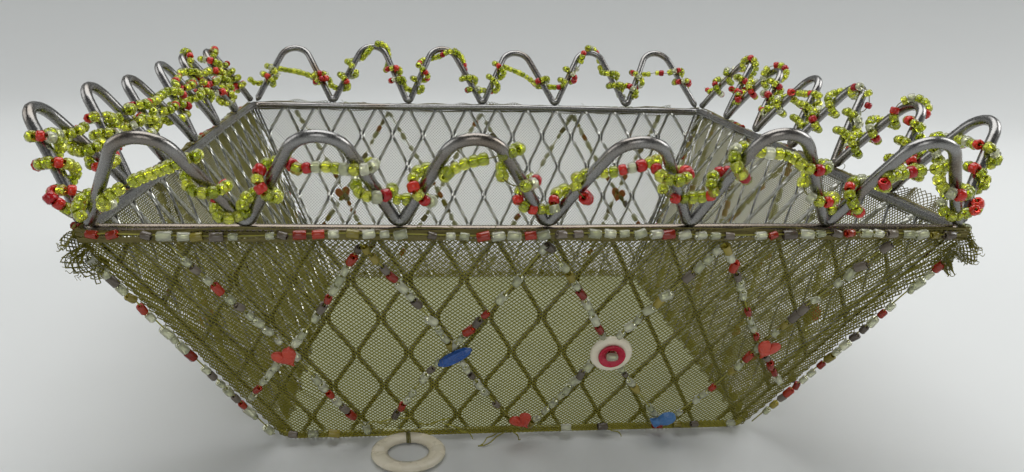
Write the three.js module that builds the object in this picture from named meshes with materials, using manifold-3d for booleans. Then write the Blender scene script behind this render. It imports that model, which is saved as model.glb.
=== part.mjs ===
// Square wire bread basket: a rim and a crown of arches in bent wire, walls of expanded metal,
// a flat base sheet, a net stretched over the outside, and beads sewn on the net and wound on the crown.
// Millimetres, +Z up, origin on the table under the middle of the base. The front wall faces -Y.
import * as THREE from "three";
import Module from "manifold-3d";
import { mergeGeometries, mergeVertices } from "three/addons/utils/BufferGeometryUtils.js";

const wasm = await Module();
wasm.setup();

// Driving dimensions: frame of the basket
const rimSize = 240; // between the centrelines of opposite rim wires
const baseSize = 154; // between the planes of opposite walls at table height
const rimHeight = 84; // rim wire's centreline above the table
const wireDiameter = 3.3; // rim and crown wire
const rimCornerRadius = 4; // bend of the rim wire's centreline
const seatGap = 0.3; // between two pieces that touch
const overcut = 1; // a cutter's reach past both faces

// Driving dimensions: crown of arches
const archCount = 6; // arches on each side
const archHeight = 30; // foot to top, along the slope, between centrelines
const archTopRadius = 8;
const archFootRadius = 2.5;

// Driving dimensions: expanded metal walls and base sheet
const sheetThickness = 1.2;
const strandWidth = 1.5;
const diamondWidth = 16.8; // between neighbouring strand crossings along the rim
const diamondLength = 33; // between strand crossings up the slope
const baseBand = 4.5; // uncut band along the foot of a wall
const edgeBand = 1.2; // cut edge along the other three sides of a wall
const leastCell = 12; // mm2, smaller cut cells stay closed
const plateThickness = 1;
const plateCornerRadius = 6;

// Driving dimensions: net
const netThickness = 0.6;
const netGapWidth = 30; // across the flats of one six-sided gap
const netBarWidth = 3; // strand between two gaps
const leastNetGap = 150; // mm2, smaller gaps stay closed
const netEdge = 3; // hem round one net panel
const netTopRise = 0.8; // net's top edge over the rim's centreline
const hemWidth = 14; // margin turned under the base
const tuftDiameter = 9; // gathered net at each rim corner
const tuftDrop = 3; // tuft's centre below the rim, along the slope
const tuftFold = 0.2; // depth of the tuft's folds, over its radius
const tuftWaves = 5; // folds round the tuft

// Driving dimensions: beads
const stringDiameter = 2; // sewn strands on the walls and down the corners
const stringPitch = 49; // between the points where strands meet at the rim
const stringNodes = 5; // such points on each wall
const cornerBeadPitch = 11;
const rimBeadDiameter = 2.4;
const rimBeadPitch = 20;
const rimBeadDrop = 3; // row of beads below the rim's centreline, along the slope
const rimBeadInset = 6; // row's end from the corner
const threadShare = 0.6; // a strand's thickness between two beads, over that of a bead
const garlandDiameter = 2.6;
const garlandLoops = 2; // turns round the crown wire in each arch
const garlandInset = 9; // garland's end from the corner, along the wire
const garlandSteps = 7; // steps in one turn

// Driving dimensions: single ornaments
const charmThickness = 2.4;
const heartWidth = 8;
const ovalLength = 10;
const ovalDiameter = 4.6;
const bowLength = 10;
const bowWidth = 5;
const buttonDiameter = 11.5;
const buttonHole = 4.2;
const buttonThickness = 1.4;
const cupDiameter = 7;
const cupHole = 3.4;
const centreBeadDiameter = 2.6;
const ringDiameter = 24;
const ringHole = 13.5;
const ringThickness = 1.8;
const ringPlace = -38; // along the front edge, from the middle
const ringGap = 0.4; // between the ring's edge and the hem that it hangs on

// Facet counts
const rimSides = 8;
const wireSides = 6;
const beadSides = 4;
const bendSteps = 2;
const topSteps = 4;
const footSteps = 2;
const roundSteps = 16;
const smallRoundSteps = 10;

// Slope of a wall, and lengths measured up the slope from table height
const flare = (rimSize - baseSize) / 2;
const slope = Math.hypot(flare, rimHeight);
const leanSine = flare / slope;
const leanCosine = rimHeight / slope;
const wireRadius = wireDiameter / 2;

// Layers of a wall, measured outwards from the middle of the expanded metal
const sheetFace = sheetThickness / 2;
const netInside = Math.max(wireRadius, sheetFace) + seatGap;
const netOutside = netInside + netThickness;
const stringRadius = stringDiameter / 2;
const stringCentre = netOutside + seatGap + stringRadius;
const charmSeat = stringCentre + stringRadius + seatGap;

// Heights of the flat pieces under the basket
const hemTop = netThickness;
const plateBottom = hemTop + seatGap;

const halfWidth = (up, out) => baseSize / 2 + up * leanSine + out * leanCosine;
const height = (up, out) => up * leanCosine - out * leanSine;
const upAtHeight = (z, out) => (z + out * leanSine) / leanCosine;
const cornerPoint = (up, out) => new THREE.Vector3(halfWidth(up, out), -halfWidth(up, out), height(up, out));

const sheetBottom = upAtHeight(plateBottom, sheetFace);
const sheetTop = slope - wireRadius - seatGap;
const netBottom = upAtHeight(plateBottom, netOutside);
const netTop = slope + netTopRise;
const hemHalf = halfWidth(netBottom, netOutside);
const plateHalf = halfWidth(sheetBottom, -sheetFace) - seatGap;

// Finishes
const finish = (color, roughness, metalness) => ({ color, roughness, metalness });
const steel = finish("#77797c", 0.38, 0.9);
const mesh = finish("#6b6d68", 0.5, 0.8);
const sheetMetal = finish("#b9beb0", 0.45, 0.4);
const net = finish("#7d8a3e", 0.9, 0);
const lime = finish("#a9c62a", 0.2, 0);
const clear = finish("#d9dccb", 0.2, 0);
const red = finish("#d5342a", 0.3, 0);
const blue = finish("#2d5fa6", 0.35, 0);
const cream = finish("#efe9d8", 0.4, 0);

function piece(name, geometry, look) {
  const made = new THREE.Mesh(geometry, new THREE.MeshStandardMaterial(look));
  made.name = name;
  return made;
}

// A closed skin over a row of rings: its ends are capped, or joined where the row runs in a loop.
function skin(rings, loop = false) {
  const sides = rings[0].length;
  const faces = [];
  const rows = loop ? rings.length : rings.length - 1;
  for (let row = 0; row < rows; row++) {
    const here = row * sides;
    const next = ((row + 1) % rings.length) * sides;
    for (let i = 0; i < sides; i++) {
      const j = (i + 1) % sides;
      faces.push(here + i, here + j, next + j, here + i, next + j, next + i);
    }
  }
  const last = (rings.length - 1) * sides;
  for (let i = 1; i < sides - 1 && !loop; i++) {
    faces.push(0, i + 1, i, last, last + i, last + i + 1);
  }
  const geometry = new THREE.BufferGeometry().setFromPoints(rings.flat());
  geometry.setIndex(faces);
  return geometry;
}

// One ring of a tube: the axes a and b lie across the tube, with a cross b along it.
function ring(centre, a, b, radius, sides) {
  return Array.from({ length: sides }, (_, i) => {
    const angle = (2 * Math.PI * (i + 0.5)) / sides;
    const across = a.clone().multiplyScalar(radius * Math.cos(angle));
    return across.addScaledVector(b, radius * Math.sin(angle)).add(centre);
  });
}

// Round wire along flat points, mitred at each bend. The wire lies in the plane z = 0.
function bentWire(points, radius, sides, loop = false) {
  const count = points.length;
  const rings = points.map((point, i) => {
    const before = points[loop ? (i + count - 1) % count : Math.max(i - 1, 0)];
    const after = points[loop ? (i + 1) % count : Math.min(i + 1, count - 1)];
    const arrive = point.clone().sub(before).normalize();
    const leave = after.clone().sub(point).normalize();
    const along = arrive.clone().add(leave).normalize();
    const stretch = 1 / Math.max(along.dot(arrive), along.dot(leave));
    const across = new THREE.Vector3(-along.y * stretch, along.x * stretch, 0);
    const centre = new THREE.Vector3(point.x, point.y, 0);
    return ring(centre, across, new THREE.Vector3(0, 0, 1), radius, sides);
  });
  return skin(rings, loop);
}

// A straight string of beads between two points: thick at each bead, thin on the thread between.
function beadString(start, end, pitch, radius, sides) {
  const along = end.clone().sub(start);
  const beads = Math.max(2, Math.round(along.length() / pitch));
  const a = new THREE.Vector3(0, 0, 1).cross(along).normalize();
  const b = along.clone().cross(a).normalize();
  const rings = Array.from({ length: 2 * beads + 1 }, (_, i) => {
    const centre = start.clone().addScaledVector(along, i / (2 * beads));
    return ring(centre, a, b, i % 2 ? radius : radius * threadShare, sides);
  });
  return skin(rings);
}

// The part of a flat polygon that lies inside a convex window, both given counter-clockwise.
function clipped(polygon, window) {
  return window.reduce((kept, start, i) => {
    const edge = window[(i + 1) % window.length].clone().sub(start);
    const inside = (point) => edge.cross(point.clone().sub(start));
    return kept.flatMap((point, k) => {
      const next = kept[(k + 1) % kept.length];
      const here = inside(point);
      const there = inside(next);
      const cut = here * there < 0 ? [point.clone().lerp(next, here / (here - there))] : [];
      return here >= 0 ? [point, ...cut] : cut;
    });
  }, polygon);
}

// Outline of a wall layer between two heights up the slope, drawn in by a margin at the sides.
function wallOutline(bottom, top, out, margin) {
  const low = halfWidth(bottom, out) - seatGap - margin;
  const high = halfWidth(top, out) - seatGap - margin;
  const corners = [
    [-low, bottom],
    [low, bottom],
    [high, top],
    [-high, top],
  ];
  return corners.map(([x, y]) => new THREE.Vector2(x, y));
}

// Solids of closed geometries, for joining and cutting, and back.
function solidOf(geometry) {
  geometry.deleteAttribute("normal");
  geometry.deleteAttribute("uv");
  const welded = mergeVertices(geometry);
  const vertProperties = welded.attributes.position.array;
  const triVerts = new Uint32Array(welded.index.array);
  return new wasm.Manifold(new wasm.Mesh({ numProp: 3, vertProperties, triVerts }));
}

function geometryOf(solid) {
  const whole = solid.getMesh();
  const geometry = new THREE.BufferGeometry();
  geometry.setAttribute("position", new THREE.BufferAttribute(whole.vertProperties, 3));
  return geometry.setIndex(new THREE.BufferAttribute(whole.triVerts, 1));
}

function prism(points, low, high) {
  const options = { depth: high - low, bevelEnabled: false };
  return new THREE.ExtrudeGeometry(new THREE.Shape(points), options).translate(0, 0, low);
}

// A flat panel with a pattern of holes, each cut back to the window and left out where little is left.
function pierced(outline, window, holes, least, low, high) {
  const kept = holes.map((hole) => clipped(hole, window));
  const cut = kept.filter((hole) => hole.length > 2 && THREE.ShapeUtils.area(hole) > least);
  const cutters = mergeGeometries(cut.map((hole) => prism(hole, low - overcut, high + overcut)));
  return geometryOf(solidOf(prism(outline, low, high)).subtract(solidOf(cutters)));
}

// Staggered copies of one hole over a wall, with a row on the rim.
function staggered(hole, pitchAcross, pitchUp) {
  const holes = [];
  const columns = Math.ceil(rimSize / pitchAcross / 2) + 1;
  for (let row = 0; row * pitchUp <= slope + pitchUp; row++) {
    for (let column = -columns; column <= columns; column++) {
      const move = new THREE.Vector2((column + (row % 2) / 2) * pitchAcross, slope - row * pitchUp);
      holes.push(hole.map((point) => point.clone().add(move)));
    }
  }
  return holes;
}

// Expanded metal: long diamonds between slanting strands, with an uncut band at the foot.
function expandedMetal() {
  const side = Math.hypot(diamondWidth, diamondLength);
  const share = 1 - (strandWidth * side) / (diamondWidth * diamondLength);
  const a = (diamondWidth / 2) * share;
  const b = (diamondLength / 2) * share;
  const diamond = [
    [a, 0],
    [0, b],
    [-a, 0],
    [0, -b],
  ];
  const hole = diamond.map(([x, y]) => new THREE.Vector2(x, y));
  const outline = wallOutline(sheetBottom, sheetTop, -sheetFace, 0);
  const window = wallOutline(sheetBottom + baseBand, sheetTop - edgeBand, -sheetFace, edgeBand);
  const holes = staggered(hole, diamondWidth, diamondLength / 2);
  return pierced(outline, window, holes, leastCell, -sheetFace, sheetFace);
}

// Net: six-sided gaps in rows that lie between one another.
function netPanel() {
  const corner = netGapWidth / Math.sqrt(3);
  const hole = Array.from({ length: 6 }, (_, i) => {
    const angle = (Math.PI * (2 * i + 1)) / 6;
    return new THREE.Vector2(corner * Math.cos(angle), corner * Math.sin(angle));
  });
  const pitch = netGapWidth + netBarWidth;
  const outline = wallOutline(netBottom, netTop, netInside, 0);
  const window = wallOutline(netBottom + netEdge, netTop - wireDiameter - netEdge, netInside, netEdge);
  const holes = staggered(hole, pitch, (pitch * Math.sqrt(3)) / 2);
  return pierced(outline, window, holes, leastNetGap, netInside, netOutside);
}

// Line of the crown wire on one side: legs rise from feet on the rim to round tops.
const footUp = slope + wireDiameter + seatGap;
const crownHalf = halfWidth(footUp, 0) - wireRadius * Math.SQRT2 - seatGap;
const archPitch = (2 * crownHalf) / archCount;
function crownLine() {
  const rise = archHeight - archTopRadius - archFootRadius;
  const reach = Math.hypot(archPitch / 2, rise);
  const legAngle = Math.atan2(rise, archPitch / 2) + Math.asin((archTopRadius + archFootRadius) / reach);
  const turn = Math.PI / 2;
  const line = new THREE.Path();
  for (let arch = 0; arch < archCount; arch++) {
    const foot = -crownHalf + arch * archPitch;
    const footStart = arch === 0 ? -turn : -turn - legAngle;
    const topUp = footUp + archHeight - archTopRadius;
    line.absarc(foot, footUp + archFootRadius, archFootRadius, footStart, legAngle - turn, false);
    line.absarc(foot + archPitch / 2, topUp, archTopRadius, turn + legAngle, turn - legAngle, true);
  }
  line.absarc(crownHalf, footUp + archFootRadius, archFootRadius, -turn - legAngle, -turn, false);
  return line;
}

// Points along the crown's line: more on the round tops than on the tight feet.
function crownPoints(line) {
  const points = line.curves.flatMap((curve) => {
    const steps = curve.isLineCurve ? 1 : curve.xRadius === archTopRadius ? topSteps : footSteps;
    return curve.getPoints(steps).slice(1);
  });
  return [line.getPoint(0), ...points];
}

// Garland: beads on one thread that winds round the crown wire and passes each foot on the outside.
function garland(line) {
  const radius = garlandDiameter / 2;
  const reach = wireRadius + seatGap + radius / Math.cos(Math.PI / beadSides);
  const length = line.getLength();
  const steps = Math.round((archCount * garlandLoops * garlandSteps * (length - 2 * garlandInset)) / length);
  const outward = new THREE.Vector3(0, 0, 1);
  const frames = Array.from({ length: steps + 1 }, (_, i) => {
    const share = (garlandInset + ((length - 2 * garlandInset) * i) / steps) / length;
    const on = line.getPointAt(share);
    const along = line.getTangentAt(share);
    const angle = Math.PI / 2 + 2 * Math.PI * garlandLoops * archCount * share;
    const away = new THREE.Vector3(-along.y, along.x, 0).multiplyScalar(Math.cos(angle));
    away.addScaledVector(outward, Math.sin(angle));
    return { centre: new THREE.Vector3(on.x, on.y, 0).addScaledVector(away, reach), away };
  });
  const rings = frames.map(({ centre, away }, i) => {
    const before = frames[Math.max(i - 1, 0)].centre;
    const after = frames[Math.min(i + 1, steps)].centre;
    const along = after.clone().sub(before).normalize();
    const b = along.clone().cross(away).normalize();
    const thickness = i % 2 ? radius : radius * threadShare;
    return ring(centre, b.clone().cross(along), b, thickness, beadSides);
  });
  return { geometry: skin(rings), centres: frames.map((frame) => frame.centre) };
}

// Least free space between parts of one winding that lie a turn or more apart.
function leastGap(centres) {
  let least = Infinity;
  for (let i = 0; i < centres.length; i++) {
    for (let j = i + Math.round(garlandSteps / 2); j < centres.length; j++) {
      least = Math.min(least, centres[i].distanceTo(centres[j]));
    }
  }
  return least - garlandDiameter;
}

// Sewn strands of a wall: two zigzags between the rim and the base that cross half way up.
const stringTop = slope - rimBeadDrop - rimBeadDiameter / 2 - seatGap - stringRadius * Math.SQRT2;
const stringBottom = netBottom + stringRadius * Math.SQRT2;
const stringRun = stringTop - stringBottom;
const cornerString = halfWidth(0, stringCentre) - baseSize / 2;
function zigzag(first) {
  const turn = (x, y) => [new THREE.Vector2(x - stringRadius, y), new THREE.Vector2(x + stringRadius, y)];
  const room = stringDiameter * 2 + seatGap - cornerString;
  const outer = (x, way) => {
    const share = (halfWidth(stringTop, 0) - room - way * x) / (stringPitch + stringRun * leanSine);
    return new THREE.Vector2(x + way * stringPitch * share, stringTop - stringRun * share);
  };
  const tops = [];
  for (let node = first; node < stringNodes; node += 2) {
    tops.push((node - (stringNodes - 1) / 2) * stringPitch);
  }
  const points = tops.flatMap((x, i) => {
    const low = i < tops.length - 1 ? turn(x + stringPitch, stringBottom) : [outer(x, 1)];
    return [...turn(x, stringTop), ...low];
  });
  return bentWire([outer(tops[0], -1), ...points], stringRadius, beadSides);
}

function wallStrings() {
  return geometryOf(solidOf(zigzag(0)).add(solidOf(zigzag(1)))).translate(0, 0, stringCentre);
}

// Row of beads sewn along the rim, over the net.
function rimRow() {
  const up = slope - rimBeadDrop;
  const out = netOutside + seatGap + rimBeadDiameter / 2;
  const end = halfWidth(up, 0) - rimBeadInset;
  const start = new THREE.Vector3(-end, up, out);
  return beadString(start, new THREE.Vector3(end, up, out), rimBeadPitch, rimBeadDiameter / 2, beadSides);
}

// Solids of revolution about +Z from a closed half profile of radius and height pairs.
function turned(profile, steps) {
  const points = profile.map(([radius, z]) => new THREE.Vector2(radius, z));
  return new THREE.LatheGeometry(points, steps).rotateX(Math.PI / 2);
}

const washer = (outside, hole, thickness, edge, steps) =>
  turned(
    [
      [hole / 2, 0],
      [outside / 2, 0],
      [outside / 2, thickness - edge],
      [outside / 2 - edge, thickness],
      [hole / 2, thickness],
      [hole / 2, 0],
    ],
    steps,
  );

// Heart: two round lobes that run down to a point.
function heart() {
  const w = heartWidth / 2;
  const shape = new THREE.Shape();
  shape.moveTo(0, -w);
  shape.bezierCurveTo(w * 0.6, -w * 0.5, w, 0, w, w * 0.4);
  shape.bezierCurveTo(w, w, w * 0.2, w * 1.1, 0, w * 0.5);
  shape.bezierCurveTo(-w * 0.2, w * 1.1, -w, w, -w, w * 0.4);
  shape.bezierCurveTo(-w, 0, -w * 0.6, -w * 0.5, 0, -w);
  return new THREE.ExtrudeGeometry(shape, { depth: charmThickness, bevelEnabled: false, curveSegments: 3 });
}

// Bow: two lobes joined by a narrow waist.
function bow() {
  const a = bowLength / 2;
  const b = bowWidth / 2;
  const shape = new THREE.Shape();
  shape.moveTo(0, -b / 2);
  shape.bezierCurveTo(a * 0.4, -b * 1.3, a, -b * 1.3, a, 0);
  shape.bezierCurveTo(a, b * 1.3, a * 0.4, b * 1.3, 0, b / 2);
  shape.lineTo(-a, b);
  shape.lineTo(-a * 0.8, 0);
  shape.lineTo(-a, -b);
  return new THREE.ExtrudeGeometry(shape, { depth: charmThickness, bevelEnabled: false, curveSegments: 4 });
}

// Oval bead, lying on its side with its hole along X closed by the thread.
function oval() {
  const bead = new THREE.SphereGeometry(ovalDiameter / 2, smallRoundSteps, smallRoundSteps / 2);
  bead.scale(ovalLength / ovalDiameter, 1, 1);
  return bead.translate(0, 0, ovalDiameter / 2);
}

// Gathered net: a ball drawn into folds that run round the line to its corner of the basket.
function tuft() {
  const ball = new THREE.IcosahedronGeometry(tuftDiameter / 2, 1);
  const place = ball.attributes.position;
  const point = new THREE.Vector3();
  const inward = new THREE.Vector3(-1, 1, 0);
  for (let i = 0; i < place.count; i++) {
    point.fromBufferAttribute(place, i);
    const wave = (1 - Math.cos(tuftWaves * point.angleTo(inward))) / 2;
    point.multiplyScalar(1 - tuftFold * wave);
    place.setXYZ(i, ...point);
  }
  return ball;
}

// Square outline with round corners, counter-clockwise.
function roundedSquare(half, radius, Outline) {
  const outline = new Outline();
  const inner = half - radius;
  for (let corner = 0; corner < 4; corner++) {
    const angle = (corner * Math.PI) / 2;
    const middle = new THREE.Vector2(inner, inner).rotateAround(new THREE.Vector2(), angle);
    outline.absarc(middle.x, middle.y, radius, angle, angle + Math.PI / 2, false);
  }
  outline.closePath();
  return outline;
}

function flatSheet(outline, thickness, z) {
  const options = { depth: thickness, bevelEnabled: false, curveSegments: bendSteps };
  return new THREE.ExtrudeGeometry(outline, options).translate(0, 0, z);
}

// Ornaments of each wall: the place counts strand crossings from the middle, across and up.
const crossing = (across, up) => [across * stringPitch, stringBottom + up * stringRun];
const [halfUp, lowUp] = [0.5, 0.08];
const charms = {
  front: [
    ["heart_front_left", heart, red, crossing(-1.5, halfUp), 0.4],
    ["oval_bead_front", oval, blue, crossing(-0.5, halfUp), 0.35],
    ["heart_front_right", heart, red, crossing(1.5, halfUp), -0.6],
    ["heart_front_low", heart, red, crossing(0, lowUp), -0.5],
    ["bow_bead_front", bow, blue, crossing(1, lowUp), 0.25],
  ],
  right: [
    ["heart_right_near", heart, red, crossing(-1.5, halfUp), 0.5],
    ["heart_right_far", heart, red, crossing(1.5, halfUp), -0.3],
    ["oval_bead_right", oval, blue, crossing(0.5, halfUp), -0.35],
  ],
  back: [
    ["heart_back_right", heart, red, crossing(-1.5, halfUp), -0.4],
    ["heart_back_left", heart, red, crossing(1.5, halfUp), 0.3],
    ["oval_bead_back", oval, blue, crossing(-0.5, halfUp), 0.2],
  ],
  left: [
    ["heart_left_far", heart, red, crossing(-1.5, halfUp), 0.2],
    ["heart_left_near", heart, red, crossing(1.5, halfUp), -0.5],
    ["oval_bead_left", oval, blue, crossing(0.5, halfUp), 0.35],
  ],
};

// Button with a cup and a bead in the middle, at one crossing of the front wall.
function buttonPieces() {
  const [x, y] = crossing(0.5, halfUp);
  const cupSeat = charmSeat + buttonThickness + seatGap;
  const beadSeat = cupSeat + buttonThickness + seatGap;
  const disc = washer(buttonDiameter, buttonHole, buttonThickness, seatGap, roundSteps);
  const cup = washer(cupDiameter, cupHole, buttonThickness, seatGap, smallRoundSteps);
  const bead = new THREE.SphereGeometry(centreBeadDiameter / 2, smallRoundSteps, smallRoundSteps / 2);
  bead.translate(0, 0, beadSeat + centreBeadDiameter / 2 - seatGap);
  const made = [
    piece("button_front", disc.translate(0, 0, charmSeat), cream),
    piece("button_cup_front", cup.translate(0, 0, cupSeat), red),
    piece("button_bead_front", bead, clear),
  ];
  made.forEach((part) => part.position.set(x, y, 0));
  return made;
}

// One wall with its crown, laid flat: x along the rim, y up the slope, z outwards.
function wall(side) {
  const line = crownLine();
  const winding = garland(line);
  console.log(`garland_${side}: least gap to itself ${leastGap(winding.centres).toFixed(2)} mm`);
  const group = new THREE.Group();
  group.add(
    piece(`mesh_${side}`, expandedMetal(), mesh),
    piece(`net_${side}`, netPanel(), net),
    piece(`crown_${side}`, bentWire(crownPoints(line), wireRadius, wireSides), steel),
    piece(`garland_${side}`, winding.geometry, lime),
    piece(`rim_beads_${side}`, rimRow(), clear),
    piece(`wall_beads_${side}`, wallStrings(), clear),
  );
  for (const [name, shape, look, [x, y], angle] of charms[side]) {
    const charm = piece(name, shape(), look);
    charm.position.set(x, y, charmSeat);
    charm.rotation.z = angle;
    group.add(charm);
  }
  if (side === "front") {
    group.add(...buttonPieces());
  }
  group.position.y = -baseSize / 2;
  group.rotation.x = Math.PI / 2 + Math.atan2(flare, rimHeight);
  return group;
}

// How far out a round piece lies on a corner so that it clears the edges of both nets there.
function cornerSeat(radius) {
  const edge = leanCosine * netInside - seatGap;
  const square = leanCosine ** 2 + 1;
  const middle = leanCosine * edge + netOutside;
  const reach = edge ** 2 + netOutside ** 2 - (radius + seatGap) ** 2;
  return (middle + Math.sqrt(middle ** 2 - square * reach)) / square;
}

// One corner: beads down the edge between two walls and a tuft of net at the rim.
function corner(name) {
  const beadOut = cornerSeat(stringRadius);
  const topUp = slope - tuftDrop - tuftDiameter / 2 - seatGap - stringRadius;
  const bottom = cornerPoint(stringBottom, beadOut);
  const beads = beadString(bottom, cornerPoint(topUp, beadOut), cornerBeadPitch, stringRadius, beadSides);
  const gathered = piece(`tuft_${name}`, tuft(), net);
  gathered.position.copy(cornerPoint(slope - tuftDrop, cornerSeat(tuftDiameter / 2)));
  const group = new THREE.Group();
  group.add(gathered, piece(`corner_beads_${name}`, beads, clear));
  return group;
}

const basket = new THREE.Group();
["front", "right", "back", "left"].forEach((side, i) => {
  const turnedSide = new THREE.Group();
  turnedSide.add(wall(side));
  turnedSide.add(corner(["front_right", "back_right", "back_left", "front_left"][i]));
  turnedSide.rotation.z = (i * Math.PI) / 2;
  basket.add(turnedSide);
});

const rimPoints = roundedSquare(rimSize / 2, rimCornerRadius, THREE.Path).getPoints(bendSteps).slice(0, -1);
const rim = piece("rim_wire", bentWire(rimPoints, wireRadius, rimSides, true), steel);
rim.position.z = rimHeight;

const plate = roundedSquare(plateHalf, plateCornerRadius, THREE.Shape);
const hem = roundedSquare(hemHalf, plateCornerRadius, THREE.Shape);
hem.holes.push(roundedSquare(hemHalf - hemWidth, plateCornerRadius, THREE.Path));

const hangingRing = piece(
  "hanging_ring",
  washer(ringDiameter, ringHole, ringThickness, seatGap, roundSteps),
  cream,
);
hangingRing.position.set(ringPlace, -(hemHalf + ringGap + ringDiameter / 2), 0);

basket.add(
  rim,
  piece("base_plate", flatSheet(plate, plateThickness, plateBottom), sheetMetal),
  piece("net_hem", flatSheet(hem, netThickness, 0), net),
  hangingRing,
);

export default basket;
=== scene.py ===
import bpy
import numpy as np
from mathutils import Matrix


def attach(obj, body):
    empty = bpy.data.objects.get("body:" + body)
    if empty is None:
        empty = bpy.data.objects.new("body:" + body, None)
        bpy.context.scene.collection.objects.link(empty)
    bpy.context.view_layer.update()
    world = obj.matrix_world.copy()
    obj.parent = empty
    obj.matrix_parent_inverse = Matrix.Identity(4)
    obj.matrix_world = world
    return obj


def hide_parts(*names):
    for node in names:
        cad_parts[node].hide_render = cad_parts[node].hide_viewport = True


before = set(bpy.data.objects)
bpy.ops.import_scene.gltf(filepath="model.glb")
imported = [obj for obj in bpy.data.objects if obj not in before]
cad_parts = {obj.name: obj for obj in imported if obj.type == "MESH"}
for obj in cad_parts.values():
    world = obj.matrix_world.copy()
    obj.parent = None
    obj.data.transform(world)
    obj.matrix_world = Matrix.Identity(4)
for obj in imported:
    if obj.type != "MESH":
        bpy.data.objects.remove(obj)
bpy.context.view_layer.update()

sideNames = ["front", "right", "back", "left"]
cornerNames = ["front_right", "back_right", "back_left", "front_left"]
turn = 2 * np.pi
upright = np.array([0.0, 0.0, 1.0])
quarterTurn = np.array([[0, 1], [-1, 0]])

# Sizes of the bare basket in mm, as in the CAD frame; the rim is measured at the middle of its wire
basket = {"rim": 240.0, "base": 154.0, "height": 84.0, "wire": 3.3}
flare = (basket["rim"] - basket["base"]) / 2
slope = np.hypot(flare, basket["height"])
leanSine, leanCosine = flare / slope, basket["height"] / slope
wireRadius = basket["wire"] / 2


def linear(hexCode):
    # sRGB hex to linear light: a straight line near black, else a power of 2.4
    srgb = np.array([int(hexCode[i:i + 2], 16) for i in (1, 3, 5)]) / 255
    light = np.where(srgb <= 0.04045, srgb / 12.92, ((srgb + 0.055) / 1.055) ** 2.4)
    return (*[float(v) for v in light], 1.0)


def addNode(tree, kind, inputs=None, **settings):
    # One node with its settings; an input takes a value or the output socket that feeds it
    node = tree.nodes.new(kind)
    for key, value in settings.items():
        setattr(node, key, value)
    for key, value in (inputs or {}).items():
        if isinstance(value, bpy.types.NodeSocket):
            tree.links.new(value, node.inputs[key])
        else:
            node.inputs[key].default_value = value
    return node


def startMaterial(name):
    material = bpy.data.materials.new(name)
    material.use_nodes = True
    material.node_tree.nodes.clear()
    return material, material.node_tree


def endMaterial(tree, inputs):
    # Principled surface with its inputs, led to the output
    skin = addNode(tree, "ShaderNodeBsdfPrincipled", inputs)
    addNode(tree, "ShaderNodeOutputMaterial", {"Surface": skin.outputs[0]})


def noise(tree, size, detail):
    # Noise through the object, with features of a size in mm
    inputs = {"Vector": addNode(tree, "ShaderNodeTexCoord").outputs["Object"], "Scale": 1000 / size}
    return addNode(tree, "ShaderNodeTexNoise", {**inputs, "Detail": detail}).outputs["Fac"]


def carried(tree, name):
    # Value that the mesh carries at each point
    return addNode(tree, "ShaderNodeAttribute", attribute_name=name).outputs["Fac"]


def blend(tree, share, first, second):
    # Colour between two, each a hex code or an output socket
    first, second = (linear(end) if isinstance(end, str) else end for end in (first, second))
    return addNode(tree, "ShaderNodeMix", {0: share, 6: first, 7: second}, data_type="RGBA").outputs[2]


def between(tree, value, low, high):
    # Takes a value of 0 to 1 to the range from low to high
    return addNode(tree, "ShaderNodeMapRange", {"Value": value, "To Min": low, "To Max": high}).outputs[0]


def dents(tree, height, strength):
    # Bumps from a height, 0.1 mm at full strength
    inputs = {"Height": height, "Strength": strength, "Distance": 0.0001}
    return addNode(tree, "ShaderNodeBump", inputs).outputs[0]


def addObject(name, data, axes=np.eye(3), place=(0.0, 0.0, 0.0)):
    # Puts a mesh, camera or lamp into the scene: its axes as columns, and its place
    added = bpy.data.objects.new(name, data)
    matrix = np.eye(4)
    matrix[:3, :3], matrix[:3, 3] = axes, place
    added.matrix_world = Matrix(matrix.tolist())
    bpy.context.scene.collection.objects.link(added)
    return added


def onWall(side, across, up, out):
    # Point of a leaning wall: across the rim, up the slope, out from the sheet, turned to its side
    across, up, out = np.broadcast_arrays(across, up, out)
    away = halfWidth(up, out)
    cosine, sine = np.round(np.cos(side * turn / 4)), np.round(np.sin(side * turn / 4))
    return np.stack([across * cosine + away * sine, across * sine - away * cosine,
                     up * leanCosine - out * leanSine], -1)


def halfWidth(up, out=0.0):
    # Half of a wall's width where two walls meet: it grows up the slope and outwards
    return basket["base"] / 2 + up * leanSine + out * leanCosine


def wallAxes(side):
    # Directions of a wall: along the rim, up the slope and outwards
    return np.stack([onWall(side, *step) for step in np.eye(3)]) - onWall(side, 0.0, 0.0, 0.0)


def loft(rings, closed=False):
    # Skins rows of rings (row, ring, point, xyz): quads between neighbour rings, a cap at each open end
    rows, count, around = rings.shape[:3]
    grid = np.arange(rows * count * around).reshape(rows, count, around)
    here, there = (grid, np.roll(grid, -1, 1)) if closed else (grid[:, :-1], grid[:, 1:])
    quads = np.stack([here, np.roll(here, -1, 2), np.roll(there, -1, 2), there], -1).reshape(-1, 4)
    faces = [quads] if closed else [quads, grid[:, 0, ::-1], grid[:, -1]]
    return rings.reshape(-1, 3), faces


def unit(vectors):
    return vectors / np.maximum(np.linalg.norm(vectors, axis=-1, keepdims=True), 1e-9)


def circle(count, radius=1.0, phase=0.0):
    angle = phase + np.arange(count) / count * turn
    return radius * np.stack([np.cos(angle), np.sin(angle)], -1)


def tube(paths, first, second, radius, sides=3, closed=False):
    # Circle carried along each path (row, place, xyz), spread on two directions
    ring = circle(sides, radius)
    spread = ring[:, :1] * first[..., None, :] + ring[:, 1:] * second[..., None, :]
    return loft(paths[..., None, :] + spread, closed)


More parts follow.
